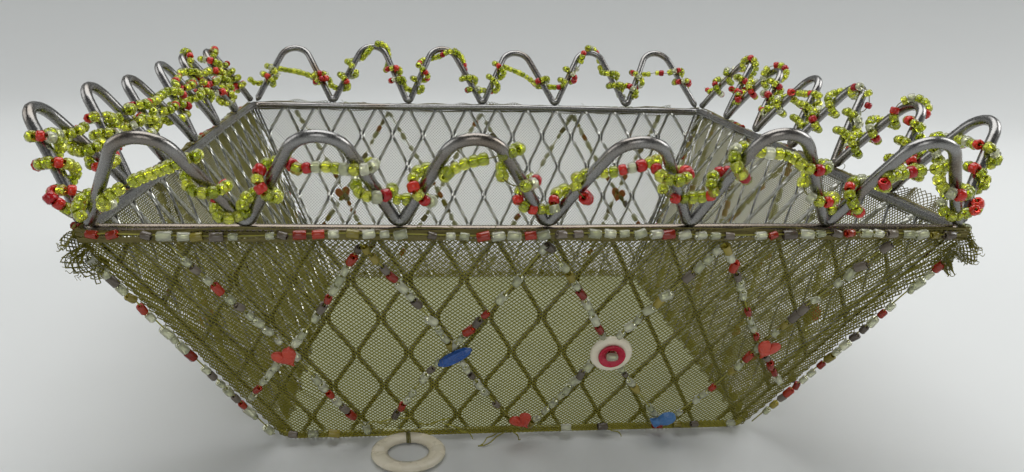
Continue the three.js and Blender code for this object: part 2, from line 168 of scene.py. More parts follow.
def wire(path, flatNormal, radius, sides, closed=False):
    # Round wire: a circle carried along a path, squared up by the normal of the plane the path bends in
    ahead = np.roll(path, -1, 0) - np.roll(path, 1, 0)
    if not closed:
        ahead[0], ahead[-1] = path[1] - path[0], path[-1] - path[-2]
    ahead = unit(ahead)
    upward = unit(np.cross(ahead, flatNormal))
    return tube(path[None], np.cross(upward, ahead)[None], upward[None], radius, sides, closed)


def thread(path, radius, steady=np.array([0.31, 0.52, 0.79])):
    # Thin thread: a triangle carried along the path, squared up by a steady direction
    ahead = unit(np.gradient(path, axis=0))
    first = unit(np.cross(ahead, steady))
    return tube(path[None], first[None], np.cross(ahead, first)[None], radius)


def layered(share, outline, height):
    # One outline at several heights, shrunk by a share at each, and capped at both ends
    level = np.broadcast_to(height[:, None, None], (len(share), len(outline), 1))
    return loft(np.concatenate([share[:, None, None] * outline, level], -1)[None])


def turned(outline, around=48):
    # Turned piece: an outline of radius and height carried once round the z axis, down on its outside
    radius, height = np.array(outline, float).T
    spoke = circle(around)
    rings = [spoke[:, :1] * radius, spoke[:, 1:] * radius, np.broadcast_to(height, (around, len(radius)))]
    return loft(np.stack(rings, -1)[None], True)


def runLength(path):
    # Distance along a path at each of its points
    return np.concatenate([[0], np.cumsum(np.linalg.norm(np.diff(path, axis=0), axis=1))])


def follow(stops, run, path):
    # Points of a path at given distances along it
    return np.stack([np.interp(stops, run, column) for column in path.T], -1)


def evenly(path, pitch):
    # Places at an even distance along a path, with the direction of the path there
    run = runLength(path)
    stops = np.arange(pitch / 2, run[-1] - pitch / 2, pitch)
    return follow(stops, run, path), unit(follow(stops, run, unit(np.gradient(path, axis=0))))


def copies(shape, places, along, outward, sizes=None):
    # Copies of one small shape: its x axis goes along, its z axis outwards, at each place
    points, faces = shape
    xAxis = unit(along)
    yAxis = unit(np.cross(outward, xAxis))
    zAxis = np.cross(xAxis, yAxis)
    scaled = points[None] if sizes is None else points[None] * sizes[:, None]
    moved = (places[:, None] + scaled[..., :1] * xAxis[:, None] + scaled[..., 1:2] * yAxis[:, None]
             + scaled[..., 2:] * zAxis[:, None])
    start = np.arange(len(places))[:, None, None] * len(points)
    return moved.reshape(-1, 3), [(start + part[None]).reshape(-1, part.shape[1]) for part in faces]


def join(*parts):
    # Several meshes as one: the points in a row, the face numbers moved on
    points, faces, start = [], [], 0
    for some, kinds in parts:
        points.append(some)
        faces += [kind + start for kind in kinds]
        start += len(some)
    return np.concatenate(points), faces


def makeMesh(name, shape, material, smooth=True):
    # Mesh in metres from points in millimetres and arrays of faces, one for each number of corners
    points, faces = shape
    mesh = bpy.data.meshes.new(name)
    corner = np.concatenate([kind.ravel() for kind in faces]).astype(np.int32)
    size = np.concatenate([np.full(len(kind), kind.shape[1]) for kind in faces])
    mesh.vertices.add(len(points))
    mesh.vertices.foreach_set("co", (points * 0.001).astype(np.float32).ravel())
    mesh.loops.add(len(corner))
    mesh.loops.foreach_set("vertex_index", corner)
    mesh.polygons.add(len(size))
    mesh.polygons.foreach_set("loop_start", (np.cumsum(size) - size).astype(np.int32))
    mesh.update(calc_edges=True)
    mesh.validate()
    mesh.polygons.foreach_set("use_smooth", np.full(len(size), smooth))
    mesh.materials.append(material)
    return mesh


def makePiece(name, shape, material, body="basket", nodes=(), smooth=True, values=None):
    # Puts a shape into the scene, on its body; values are carried by its points
    mesh = makeMesh(name, shape, material, smooth)
    for key, value in (values or {}).items():
        layer = mesh.attributes.new(key, "FLOAT", "POINT")
        layer.data.foreach_set("value", np.broadcast_to(value, len(mesh.vertices)).astype(np.float32))
    piece = addObject(name, mesh)
    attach(piece, body)
    if nodes:
        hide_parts(*nodes)
    return piece


# Camera of the photograph: fitted to the lines of the rim, the base and the tops of the arches
view = {"place": (-0.03499, -0.34335, 0.14795), "yaw": 6.55, "pitch": 16.27, "roll": 1.74, "lens": 30.21,
        "sensor": 36.0, "near": 0.01}
yaw, pitch, bank = np.radians([view["yaw"], view["pitch"], view["roll"]])
ahead = np.array([np.sin(yaw) * np.cos(pitch), np.cos(yaw) * np.cos(pitch), -np.sin(pitch)])
level = np.array([np.cos(yaw), -np.sin(yaw), 0.0])
raised = np.cross(level, ahead)
lens = bpy.data.cameras.new("camera")
lens.sensor_fit = "HORIZONTAL"
lens.lens, lens.sensor_width, lens.clip_start = view["lens"], view["sensor"], view["near"]
camera = addObject("camera", lens, np.stack([level * np.cos(bank) + raised * np.sin(bank),
                                             raised * np.cos(bank) - level * np.sin(bank), -ahead], 1), view["place"])
bpy.context.scene.camera = camera
bpy.context.scene.view_settings.view_transform = "Standard"
print("camera placed")

# Soft light tent: a big lamp above, one at each side, a weak one in front, all aimed at the basket's middle; place,
# size and power of each
lamps = {"above": ((0.0, 0.3, 1.15), 1.1, 11.9), "left": ((-1.0, 0.1, 0.55), 0.7, 2.5),
         "right": ((1.1, 0.1, 0.75), 0.7, 7.2), "near": ((-0.1, -1.1, 0.6), 0.6, 2.0)}
aimedAt = np.array([0.0, 0.0, 0.06])
tent = {"colour": "#f4f6f8", "strength": 0.12, "paper": "#d2d4d3", "rough": 0.85}
for name, (place, size, power) in lamps.items():
    light = bpy.data.lights.new(name + "Lamp", "AREA")
    light.size, light.energy = size, power
    back = unit(np.array(place) - aimedAt)
    across = unit(np.cross(upright[[0, 2, 1]] if abs(back[2]) > 0.9 else upright, back))
    addObject(name + "Lamp", light, np.stack([across, np.cross(back, across), back], 1), place)
world = bpy.data.worlds.new("paleTent")
world.use_nodes = True
tree = world.node_tree
tree.nodes.clear()
tentLight = addNode(tree, "ShaderNodeBackground",
                    {"Color": linear(tent["colour"]), "Strength": tent["strength"]})
addNode(tree, "ShaderNodeOutputWorld", {"Surface": tentLight.outputs[0]})
bpy.context.scene.world = world

# Floor that curves up into a backdrop: flat, then a round bend, then a straight wall, carried round the z axis.
# On the camera's side the bend stops early and the wall is low, as the open front of a light tent
sweep = {"middle": 300.0, "flat": 900.0, "radius": 800.0, "wall": 1600.0, "around": 96, "steps": 17, "open": 0.8,
         "fade": 0.7, "lowBend": 0.6, "lowWall": 30.0}
sweepTurn = np.arange(sweep["around"]) / sweep["around"] * turn
standing = np.clip((np.sin(sweepTurn) + sweep["open"]) / sweep["fade"], 0, 1)[None]
fullBend = sweep["lowBend"] + (1 - sweep["lowBend"]) * standing
bendAngle = np.linspace(0, turn / 4, sweep["steps"])[:, None] * fullBend
bendOut = sweep["flat"] + sweep["radius"] * np.sin(bendAngle)
bendUp = sweep["radius"] * (1 - np.cos(bendAngle))
wallRun = np.maximum(sweep["wall"] * standing, sweep["lowWall"])
sweepOut = np.concatenate([0 * standing + sweep["middle"], bendOut, bendOut[-1:] + wallRun * np.cos(bendAngle[-1:])])
sweepUp = np.concatenate([0 * standing, bendUp, bendUp[-1:] + wallRun * np.sin(bendAngle[-1:])])
sweepPoints = np.stack([sweepOut * np.cos(sweepTurn), sweepOut * np.sin(sweepTurn), sweepUp], -1)
sweepGrid = np.arange(sweepOut.size).reshape(sweepOut.shape)
sweepNext = np.roll(sweepGrid, -1, 1)
sweepQuads = np.stack([sweepGrid[:-1], sweepGrid[1:], sweepNext[1:], sweepNext[:-1]], -1).reshape(-1, 4)
# Matte paper: plain pale grey without a shine
paper, tree = startMaterial("mattePaper")
endMaterial(tree, {"Base Color": linear(tent["paper"]), "Roughness": tent["rough"]})
sweepShape = sweepPoints.reshape(-1, 3), [sweepQuads, sweepGrid[:1]]
paperSweep = addObject("paperSweep", makeMesh("paperSweep", sweepShape, paper))
print("light and floor set")

# Drawn steel wire, bare and dulled: satin grey with brown age in patches and fine draw marks. Here and below a
# noise is given by its size in mm and its detail
steel = {"clean": "#8a8987", "aged": "#72675a", "patch": (22.0, 3.0), "patchEdge": (0.5, 0.72),
         "mark": (0.7, 2.0), "rough": (0.18, 0.36), "dent": 0.25}
drawnSteel, tree = startMaterial("drawnSteelWire")
patches = addNode(tree, "ShaderNodeMapRange", {"Value": noise(tree, *steel["patch"]),
                                               "From Min": steel["patchEdge"][0], "From Max": steel["patchEdge"][1]})
# Browner in random patches, and where the rim carries its front brown
browner = addNode(tree, "ShaderNodeMath", {0: patches.outputs[0], 1: carried(tree, "frontBrown")}, operation="MAXIMUM")
marks = noise(tree, *steel["mark"])
endMaterial(tree, {"Base Color": blend(tree, browner.outputs[0], steel["clean"], steel["aged"]), "Metallic": 1.0,
                   "Roughness": between(tree, marks, *steel["rough"]), "Normal": dents(tree, marks, steel["dent"])})

# Expanded sheet steel, slit and stretched: bright grey, brighter where the strands were sheared, and painted a darker
# olive brown on the outer faces as shade under the net
sheetSteel = {"face": "#74746c", "sheared": "#e2e2da", "outerShade": "#706c50", "grain": (1.2, 3.0),
              "rough": (0.12, 0.26), "dent": 0.3}
expandedSteel, tree = startMaterial("expandedSheetSteel")
grain = noise(tree, *sheetSteel["grain"])
tone = blend(tree, grain, sheetSteel["face"], sheetSteel["sheared"])
# On outer faces the painted shade colour replaces the steel tone
endMaterial(tree, {"Base Color": blend(tree, carried(tree, "shadedOutside"), tone, sheetSteel["outerShade"]), "Metallic": 1.0,
                   "Roughness": between(tree, grain, *sheetSteel["rough"]),
                   "Normal": dents(tree, grain, sheetSteel["dent"])})

# Painted sheet steel, rolled flat: pale grey-green with a satin gloss, faint stains and scuffs
paint = {"clean": "#a4a88a", "stained": "#8d9172", "stain": (30.0, 5.0), "scuff": (2.0, 4.0), "rough": (0.4, 0.62)}
paintedSheet, tree = startMaterial("paintedSheetSteel")
endMaterial(tree, {"Base Color": blend(tree, noise(tree, *paint["stain"]), paint["clean"], paint["stained"]),
                   "Roughness": between(tree, noise(tree, *paint["scuff"]), *paint["rough"])})

# Nylon tulle, machine knitted: fine olive threads with a soft sheen that let some light through, yellower in
# patches; folded at the hem it is brighter, rolled on the rim browner, and loose threads are yellower.
# Two colours, the size of the patches in mm and the share of light let through
tulles = {"nylonTulle": ("#6f6b0c", "#8a841a", 14.0, 0.3), "foldedTulle": ("#868012", "#a49b26", 9.0, 0.1),
          "rolledTulle": ("#625b1a", "#867b44", 8.0, 0.15), "looseThread": ("#8f8a1c", "#b0aa3c", 6.0, 0.2)}
tulleSheen = {"Roughness": 0.55, "Sheen Weight": 0.2, "Sheen Roughness": 0.4}
patchDetail = 4.0
tulle = {}
for name, (moss, straw, patch, thin) in tulles.items():
    tulle[name], tree = startMaterial(name)
    tone = blend(tree, noise(tree, patch, patchDetail), moss, straw)
    skin = addNode(tree, "ShaderNodeBsdfPrincipled", {"Base Color": tone, **tulleSheen})
    glow = addNode(tree, "ShaderNodeBsdfTranslucent", {"Color": tone})
    lit = addNode(tree, "ShaderNodeMixShader", {0: thin, 1: skin.outputs[0], 2: glow.outputs[0]})
    addNode(tree, "ShaderNodeOutputMaterial", {"Surface": lit.outputs[0]})

# Pressed glass beads: each has its own shade, and the bore is lined with silver that lights the glass from inside.
# A light and a deep shade, the share of light let through and the roughness
glass = {"limeGlass": ("#f2f56c", "#bcc72c", 0.72, 0.03), "rubyGlass": ("#e8402c", "#b81420", 0.35, 0.08),
         "clearGlass": ("#f6f7e2", "#d2d5b2", 0.66, 0.05), "emberGlass": ("#c03c20", "#8a2210", 0.3, 0.1),
         "smokeGlass": ("#7f7568", "#544b40", 0.1, 0.16), "oliveGlass": ("#b5a548", "#8a7f30", 0.3, 0.12)}
glassIndex, acrylicIndex = 1.52, 1.49
beadGlass = {}
for name, (light, deep, clear, rough) in glass.items():
    beadGlass[name], tree = startMaterial("silverLined" + name[0].upper() + name[1:])
    lining = carried(tree, "lining")
    endMaterial(tree, {"Base Color": blend(tree, carried(tree, "shade"), light, deep), "Metallic": lining,
                       "Transmission Weight": between(tree, lining, clear, 0.0), "Roughness": rough,
                       "IOR": glassIndex})

# Moulded acrylic ornaments: glossy, with clouds of a darker colour and a duller shine. Two colours, the size of the
# clouds in mm and the share of light let through
acrylic = {"redAcrylic": ("#d9573f", "#b43625", 3.0, 0.05), "crimsonAcrylic": ("#c81a3c", "#a01030", 4.0, 0.0),
           "blueAcrylic": ("#3166b8", "#0f2c62", 1.6, 0.0), "skyAcrylic": ("#5a8abf", "#2f64a0", 2.5, 0.0),
           "creamPlastic": ("#efe8d5", "#d9cfb4", 6.0, 0.0)}
acrylicRough = (0.12, 0.4)
moulded = {}
for name, (bright, dark, size, clear) in acrylic.items():
    moulded[name], tree = startMaterial("moulded" + name[0].upper() + name[1:])
    cloud = noise(tree, size, patchDetail)
    endMaterial(tree, {"Base Color": blend(tree, cloud, bright, dark), "Transmission Weight": clear,
                       "Roughness": between(tree, cloud, *acrylicRough), "IOR": acrylicIndex})
print("materials made")

# Rim: one loop of wire round a square with bent corners, a little out of true, and browner along the front
rim = {"bend": 4.0, "sides": 14, "straight": 24, "wobble": 0.25, "waves": 5, "phase": 0.7, "brown": 8.0, "frontBrown": 0.85}


def roundedSquare(half, bend, straight, arc=8):
    # Square with rounded corners, anticlockwise from the front left: four straight runs and four quarter arcs
    run = np.linspace(-half + bend, half - bend, straight)
    angle = np.linspace(-turn / 4, 0, arc + 2)[1:-1]
    bent = np.stack([half - bend + bend * np.cos(angle), -half + bend + bend * np.sin(angle)], -1)
    quarter = np.concatenate([np.stack([run, np.full(straight, -half)], -1), bent])
    return np.concatenate([quarter @ np.linalg.matrix_power(quarterTurn, k) for k in range(4)])


rimLine = roundedSquare(basket["rim"] / 2, rim["bend"], rim["straight"])
rimAngle = np.arctan2(rimLine[:, 1], rimLine[:, 0])
rimHeight = basket["height"] + rim["wobble"] * np.sin(rim["waves"] * rimAngle + rim["phase"])
rimPath = np.concatenate([rimLine, rimHeight[:, None]], 1)
# Share of brown at each point: full at the front edge, fading to none over the brown reach
rimFrontBrown = rim["frontBrown"] * np.clip((-rimPath[:, 1] - basket["rim"] / 2 + rim["brown"]) / rim["brown"], 0, 1)
makePiece("rimWire", wire(rimPath, upright, wireRadius, rim["sides"], True), drawnSteel,
          nodes=["rim_wire"], values={"frontBrown": np.repeat(rimFrontBrown, rim["sides"])})

# Crown: wire bent into six arches a side. Each arch is lines that touch a small foot circle and a wider top circle.
# lean, grow and tip are how far hand bending moved each top along the rim, up, and outwards
crown = {"arches": 6, "height": 30.0, "topRadius": 8.0, "footRadius": 1.6, "gap": 0.3, "sides": 10,
         "footSteps": 7, "legSteps": 8, "topSteps": 11, "tipPower": 1.5,
         "lean": [[-0.9, 0.8, -1.1, 0.8, -2.4, -1.6], [0.8, -0.9, 1.2, -0.5, 0.9, -1.1],
                  [1.4, -0.6, 0.9, 1.5, -0.8, 0.7], [-1.0, 0.8, -0.6, 1.1, -1.2, 0.6]],
         "grow": [[-0.05, -0.01, -0.02, -0.03, 0.05, -0.01], [0.01, -0.03, 0.02, 0.0, -0.02, 0.02],
                  [0.02, 0.0, -0.03, 0.01, 0.03, -0.02], [-0.02, 0.02, 0.01, -0.03, 0.02, 0.0]],
         "tip": [[2.6, 2.9, 3.1, 3.2, 2.4, 2.8], [3.6, 3.2, 2.8, 3.0, 3.3, 2.6],
                 [2.5, 2.0, 2.8, 2.4, 2.2, 2.9], [2.8, 3.1, 2.6, 2.9, 2.4, 2.7]]}
footUp = slope + basket["wire"] + crown["gap"]
crownHalf = halfWidth(footUp) - wireRadius * np.sqrt(2) - crown["gap"]
archPitch = 2 * crownHalf / crown["arches"]
legRise = crown["height"] - crown["topRadius"] - crown["footRadius"]
bothRadii = crown["topRadius"] + crown["footRadius"]
legLength = np.sqrt((archPitch / 2) ** 2 + legRise ** 2 - bothRadii ** 2)
legAngle = np.arctan2(legRise, archPitch / 2) + np.arctan2(bothRadii, legLength)
footTurn = np.linspace(0, legAngle, crown["footSteps"])
topTurn = np.linspace(legAngle, 0, crown["topSteps"])
footArc = crown["footRadius"] * np.stack([np.sin(footTurn), 1 - np.cos(footTurn)], -1)
topArc = (np.array([archPitch / 2, crown["height"] - crown["topRadius"]])
          + crown["topRadius"] * np.stack([-np.sin(topTurn), np.cos(topTurn)], -1))
legStart, legEnd = footArc[-1], topArc[0]
legLine = legStart + (legEnd - legStart) * np.linspace(0, 1, crown["legSteps"])[1:-1, None]
halfArch = np.concatenate([footArc, legLine, topArc])
archLine = np.concatenate([halfArch, np.array([archPitch, 0]) + halfArch[-2::-1] * np.array([-1, 1])])


def bentArch(side, arch, across, rise, out):
    # A point of an arch after hand bending: moved along, up and outwards in proportion to its height
    share = rise / crown["height"]
    return onWall(side, across + arch * archPitch - crownHalf + crown["lean"][side][arch] * share,
                  footUp + rise * (1 + crown["grow"][side][arch]),
                  out + crown["tip"][side][arch] * share ** crown["tipPower"])


for side, sideName in enumerate(sideNames):
    archRise = np.maximum(archLine[:, 1], 0)
    arches = [bentArch(side, k, archLine[:, 0], archRise, 0.0) for k in range(crown["arches"])]
    crownPath = np.concatenate([arch[:-1] for arch in arches[:-1]] + [arches[-1]])
    makePiece("crownWire_" + sideName, wire(crownPath, wallAxes(side)[2], wireRadius, crown["sides"]), drawnSteel,
              nodes=["crown_" + sideName])
print("rim and crown bent")

# Expanded metal: each strand runs straight from one knuckle to the next, side by side with its neighbour at both
# ends, and its flat section is tilted in between, as stretching leaves it
mesh = {"cell": 16.0, "row": 16.5, "strand": 1.4, "thick": 0.85, "tilt": 0.8, "rings": 9, "top": 93.2, "foot": 1.5,
        "knuckle": 0.1, "firstRow": [9.5, 12.4, 12.5, 7.0], "shift": [-5.7, 5.0, 0.0, -3.0], "margin": 1.3,
        "shortest": 0.12, "columns": (-11, 12), "rows": (-2, 7), "samples": 61,
        "section": [[1, 0.62], [0.72, 1], [-0.72, 1], [-1, 0.62], [-1, -0.62], [-0.72, -1], [0.72, -1], [1, -0.62]]}
wallEdge = {"margin": 1.1, "narrow": 0.8, "rings": 12}
footBand = {"low": 0.5, "high": 1.85, "thick": 0.6, "bevel": 0.2, "margin": 1.2, "rings": 24}


def expandedWall(side):
    # Strands of one wall cut off at its outline, two edges and a foot band; the second value is 1 on outer faces,
    # where shade is painted
    grid = np.stack(np.meshgrid(np.arange(*mesh["columns"]), np.arange(*mesh["rows"]), [-1, 1], indexing="ij"), -1)
    column, row, lean = grid.reshape(-1, 3).T[..., None]
    startAcross = (column + 0.5 * (row % 2)) * mesh["cell"] + mesh["shift"][side]
    startUp = row * mesh["row"] + mesh["firstRow"][side]

    def path(share):
        # Along a strand: up the slope evenly, and sideways in a straight line between the knuckles
        step = np.clip((share - mesh["knuckle"]) / (1 - 2 * mesh["knuckle"]), 0, 1)
        sideways = mesh["strand"] / 2 + (mesh["cell"] / 2 - mesh["strand"]) * step
        return startAcross + lean * sideways, startUp + share * mesh["row"]

    fine = np.linspace(0, 1, mesh["samples"])
    across, up = path(fine[None])
    inside = (np.abs(across) < halfWidth(up) - mesh["margin"]) & (up > mesh["foot"]) & (up < mesh["top"])
    first = np.where(inside.any(1), fine[inside.argmax(1)], 1)[:, None]
    last = np.where(inside.any(1), fine[::-1][inside[:, ::-1].argmax(1)], 0)[:, None]
    kept = (last - first > mesh["shortest"])[:, 0]
    share = first + (last - first) * np.linspace(0, 1, mesh["rings"])[None]
    across, up = path(share)
    across, up, share, lean = across[kept], up[kept], share[kept], lean[kept]
    ahead = unit(np.stack([np.gradient(across, axis=1), np.gradient(up, axis=1)], -1))
    tilt = (lean * mesh["tilt"] * np.sin(np.clip(share, 0, 1) * np.pi))[..., None]
    section = np.array(mesh["section"]) * np.array([mesh["strand"], mesh["thick"]]) / 2
    wide = section[:, 0] * np.cos(tilt) - section[:, 1] * np.sin(tilt)
    deep = section[:, 0] * np.sin(tilt) + section[:, 1] * np.cos(tilt)
    ringAcross = across[..., None] + wide * ahead[..., 1:]
    ringUp = up[..., None] - wide * ahead[..., :1]
    parts = [loft(onWall(side, ringAcross, ringUp, deep)[:, :, ::-1])]
    run = np.linspace(mesh["foot"], mesh["top"], wallEdge["rings"])[:, None]
    for edge in (-1, 1):
        edgeAcross = edge * (halfWidth(run) - wallEdge["margin"]) + section[:, 0] * wallEdge["narrow"]
        parts.append(loft(onWall(side, edgeAcross, run, section[:, 1])[None, :, ::-1]))
    shoulder = footBand["high"] - footBand["bevel"]
    bandUp = np.array([footBand["low"], shoulder, footBand["high"], footBand["high"], shoulder, footBand["low"]])
    bandOut = footBand["thick"] * np.array([0.5, 0.5, 0.25, -0.25, -0.5, -0.5])
    bandAcross = np.linspace(-1, 1, footBand["rings"])[:, None] * (halfWidth(bandUp) - footBand["margin"])
    parts.append(loft(onWall(side, bandAcross, bandUp, bandOut)[None, :, ::-1]))
    points, faces = join(*parts)
    # How far each point stands outside the wall, for the shade painted on the outer faces
    away = np.abs(points[:, :2]).max(1) - basket["base"] / 2 - points[:, 2] * flare / basket["height"]
    return (points, faces), np.clip(away / mesh["thick"] * 2, 0, 1)


for side, sideName in enumerate(sideNames):
    wall, shadedOutsideHere = expandedWall(side)
    makePiece("expandedMetal_" + sideName, wall, expandedSteel, nodes=["mesh_" + sideName],
              smooth=False, values={"shadedOutside": shadedOutsideHere})
print("walls stretched")

# Base: a thin sheet with a rounded edge, lying in the hem. Each place is a share of its width and its thickness
base = {"half": 79.4, "low": 0.9, "thick": 1.0, "bend": 6.0, "straight": 12,
        "places": [[0.97, 0.0], [0.995, 0.12], [1.0, 0.4], [1.0, 0.65], [0.995, 0.92], [0.97, 1.0], [0.5, 0.97]]}
baseShare, baseRise = np.array(base["places"]).T
baseSolid = layered(baseShare, roundedSquare(base["half"], base["bend"], base["straight"]),
                    base["low"] + base["thick"] * baseRise)
makePiece("baseSheet", baseSolid, paintedSheet, nodes=["base_plate"], smooth=False)
print("base laid")

# Tulle: a fine net of zigzag threads, stretched over each wall and turned over the outside of the rim. Behind the
# hem a notch leaves room for the edge of the hanging ring. The frill gives a start, an end and a height by side
net = {"cell": 1.55, "row": 0.8, "thread": 0.26, "ridge": 0.3, "out": 2.25, "low": 2.4, "over": 2.4, "seam": 0.25,
       "ripple": 0.2, "rippleAcross": 9.1, "rippleUp": 7.3, "ripplePhase": 1.3, "slack": 4,
       "notch": {"side": 0, "middle": -38.0, "half": 8.0, "top": 5.0}}
frill = {"sides": {1: (-106.0, -40.0, 7.0), 2: (-106.0, 104.0, 3.4), 3: (-100.0, -58.0, 4.5)}, "wave": 2.3,
         "swing": 1.8, "drift": 0.8, "lift": 0.6, "out": 2.5, "uneven": 0.45, "unevenWave": 17.0}
pleat = {"spots": [[-14.0, 30.0], [-30.0, 26.0], [-20.0, 48.0], [-46.0, 38.0], [-58.0, 16.0]], "height": 1.15,
         "width": 1.3, "spread": 9.0, "rise": 6}
roll = {"threads": 13, "reach": 2.7, "start": -0.5, "end": 0.75, "radius": 0.25, "samples": 170, "short": 1.0,
        "waves": (5, 24), "sway": 0.28, "swell": 0.32, "frays": 130, "lengths": (1.0, 3.4), "fromEnd": 4,
        "aim": [1.2, 0.7, 0.3], "lift": [0.0, 0.0, 0.35], "fray": {"curl": 0.6, "turns": 1.0, "radius": 0.13}}


def knit(left, right, high, gauge, surface, low=0.0, inside=None):
    # Diamond net: the thread of each row goes up and down by one row, and its peaks touch the dips of the next row.
    # Its section has three corners: two on the surface and a higher ridge between them
    cell, row = gauge["cell"], gauge["row"]
    step, line = np.meshgrid(np.arange(np.ceil(2 * left / cell), np.floor(2 * right / cell) + 1),
                             np.arange(np.floor((high - low) / row)))
    across, up = step * cell / 2, low + row * (line + (step + line) % 2)
    kept = inside(across, up) if inside else np.full(across.shape, True)
    kept &= np.pad(kept, ((0, 0), (1, 0)))[:, :-1] | np.pad(kept, ((0, 0), (0, 1)))[:, 1:]
    across, up, line, step = across[kept], up[kept], line[kept], step[kept]
    wide = gauge["thread"] * np.hypot(cell / 2, row) / cell
    height = np.broadcast_to(np.array([0.0, net["ridge"], 0.0]), (len(up), 3))
    points = surface(np.repeat(across[:, None], 3, 1), up[:, None] + wide * np.array([1.0, 0.0, -1.0]), height)
    grid = np.arange(3 * len(up)).reshape(-1, 3)
    same = (line[1:] == line[:-1]) & (step[1:] == step[:-1] + 1)
    here, there = grid[:-1][same], grid[1:][same]
    quads = np.stack([here, np.roll(here, -1, 1), np.roll(there, -1, 1), there], -1).reshape(-1, 4)
    return points.reshape(-1, 3), [quads, grid[np.append(True, ~same)][:, ::-1], grid[np.append(~same, True)]]


def lifted(shape, near=0.05):
    # Surface with a height: the shape plus the height along the normal of its two directions
    def surface(a, b, height):
        here = shape(a, b)
        normal = unit(np.cross(shape(a + near, b) - here, shape(a, b + near) - here))
        return here + normal * height[..., None]
    return surface


def frays(starts, directions, lengths, fray, seed, steps=11):
    # Loose thread ends: each goes along its direction and swings out into a widening curl
    draw = np.random.default_rng(seed)
    share = np.linspace(0, 1, steps)[None, :, None]
    first = unit(np.cross(directions, draw.normal(size=directions.shape)))[:, None]
    second = np.cross(unit(directions)[:, None], first)
    angle = draw.uniform(0, turn, (len(starts), 1, 1)) + share * turn * fray["turns"]
    path = (starts[:, None] + unit(directions)[:, None] * lengths[:, None, None] * share
            + fray["curl"] * share * (first * np.sin(angle) + second * np.cos(angle)))
    return tube(path, first, second, fray["radius"])


def pleated(side, across, up):
    # Folds that fan out of the two upper corners: each a soft ridge along a line, fading to its lower end
    draw = np.random.default_rng(150 + side)
    ridge = np.zeros(np.shape(across))
    for edge in (-1, 1):
        away = edge * across - halfWidth(slope)
        for spot in np.array(pleat["spots"]) + draw.uniform(-1, 1, (len(pleat["spots"]), 2)) * pleat["spread"]:
            run = spot - np.array([0.0, slope])
            share = np.clip((away * run[0] + (up - slope) * run[1]) / (run @ run), 0, 1)
            gap = np.hypot(away - share * run[0], up - slope - share * run[1])
            fading = (1 - share) ** 0.5 * np.minimum(share * pleat["rise"], 1)
            ridge = np.maximum(ridge, fading * np.exp(-(gap / pleat["width"]) ** 2))
    return pleat["height"] * ridge


netPieces, edgePieces = {}, {}
for side, sideName in enumerate(sideNames):
    def stretched(across, up, height, side=side):
        # Flat over the wall with a faint ripple and pleats, then round the rim wire at the same distance
        ripple = np.sin(across / net["rippleAcross"] + side)
        ripple = ripple * np.sin(up / net["rippleUp"] + net["ripplePhase"] * side)
        out = net["out"] + net["ripple"] * ripple + height + pleated(side, across, np.minimum(up, slope))
        over = np.maximum(up - slope, 0) / net["out"]
        return onWall(side, across, np.where(up < slope, up, slope + out * np.sin(over)), out * np.cos(over))

    def within(across, up, side=side):
        # Inside the wall's outline and outside the notch
        notch = net["notch"]
        free = (np.abs(across - notch["middle"]) > notch["half"]) | (up > notch["top"]) | (side != notch["side"])
        return free & (np.abs(across) < halfWidth(np.minimum(up, slope), net["out"]) - net["seam"])

    widest = halfWidth(slope, net["slack"])
    cloth = knit(-widest, widest, slope + net["over"], net, stretched, net["low"], within)
    netPieces[sideName] = makePiece("tulle_" + sideName, cloth, tulle["nylonTulle"],
                                    nodes=["net_" + sideName], smooth=False)
    # Roll: the net's gathered upper edge, as wavy threads side by side along the outside of the rim
    draw = np.random.default_rng(210 + side)
    along = np.linspace(-1, 1, roll["samples"])[None] * (halfWidth(slope, roll["reach"]) - roll["short"])
    phase = draw.uniform(0, turn, (2, roll["threads"], 1))
    wave = draw.uniform(*roll["waves"], (2, roll["threads"], 1))
    angle = np.linspace(roll["start"], roll["end"], roll["threads"])[:, None]
    angle = angle + roll["sway"] * np.sin(along / wave[0] + phase[0])
    reach = roll["reach"] + roll["swell"] * np.sin(along / wave[1] + phase[1])
    line = onWall(side, along, slope + reach * np.sin(angle), reach * np.cos(angle))
    axes = wallAxes(side)
    edging = [tube(line, axes[1], axes[2], roll["radius"])]
    # Broken threads stand out of the roll, most of them lying along the rim
    rooted = line[draw.integers(0, roll["threads"], roll["frays"]),
                  draw.integers(roll["fromEnd"], roll["samples"] - roll["fromEnd"], roll["frays"])]
    way = draw.normal(size=(roll["frays"], 3)) * np.array(roll["aim"]) + np.array(roll["lift"])
    edging.append(frays(rooted, way @ axes, draw.uniform(*roll["lengths"], roll["frays"]), roll["fray"], 260 + side))
    if side in frill["sides"]:
        start, end, high = frill["sides"][side]

        def ruffled(across, rise, side=side, high=high):
            # Loose upper edge: it stands over the rim and waves in and out, more towards its edge
            share = rise / high
            tall = 1 - frill["uneven"] + frill["uneven"] * np.sin(across / frill["unevenWave"] + side)
            return onWall(side, across + frill["drift"] * share * np.sin(across / frill["wave"] / 2),
                          slope + frill["lift"] + rise * tall,
                          frill["out"] + share * frill["swing"] * np.sin(across / frill["wave"]))
        edging.append(knit(start, end, high, net, lifted(ruffled)))
    edgePieces[sideName] = makePiece("tulleEdge_" + sideName, join(*edging), tulle["rolledTulle"],
                                     smooth=False)
print("net stretched,", sum(len(piece.data.polygons) for piece in netPieces.values()), "faces")

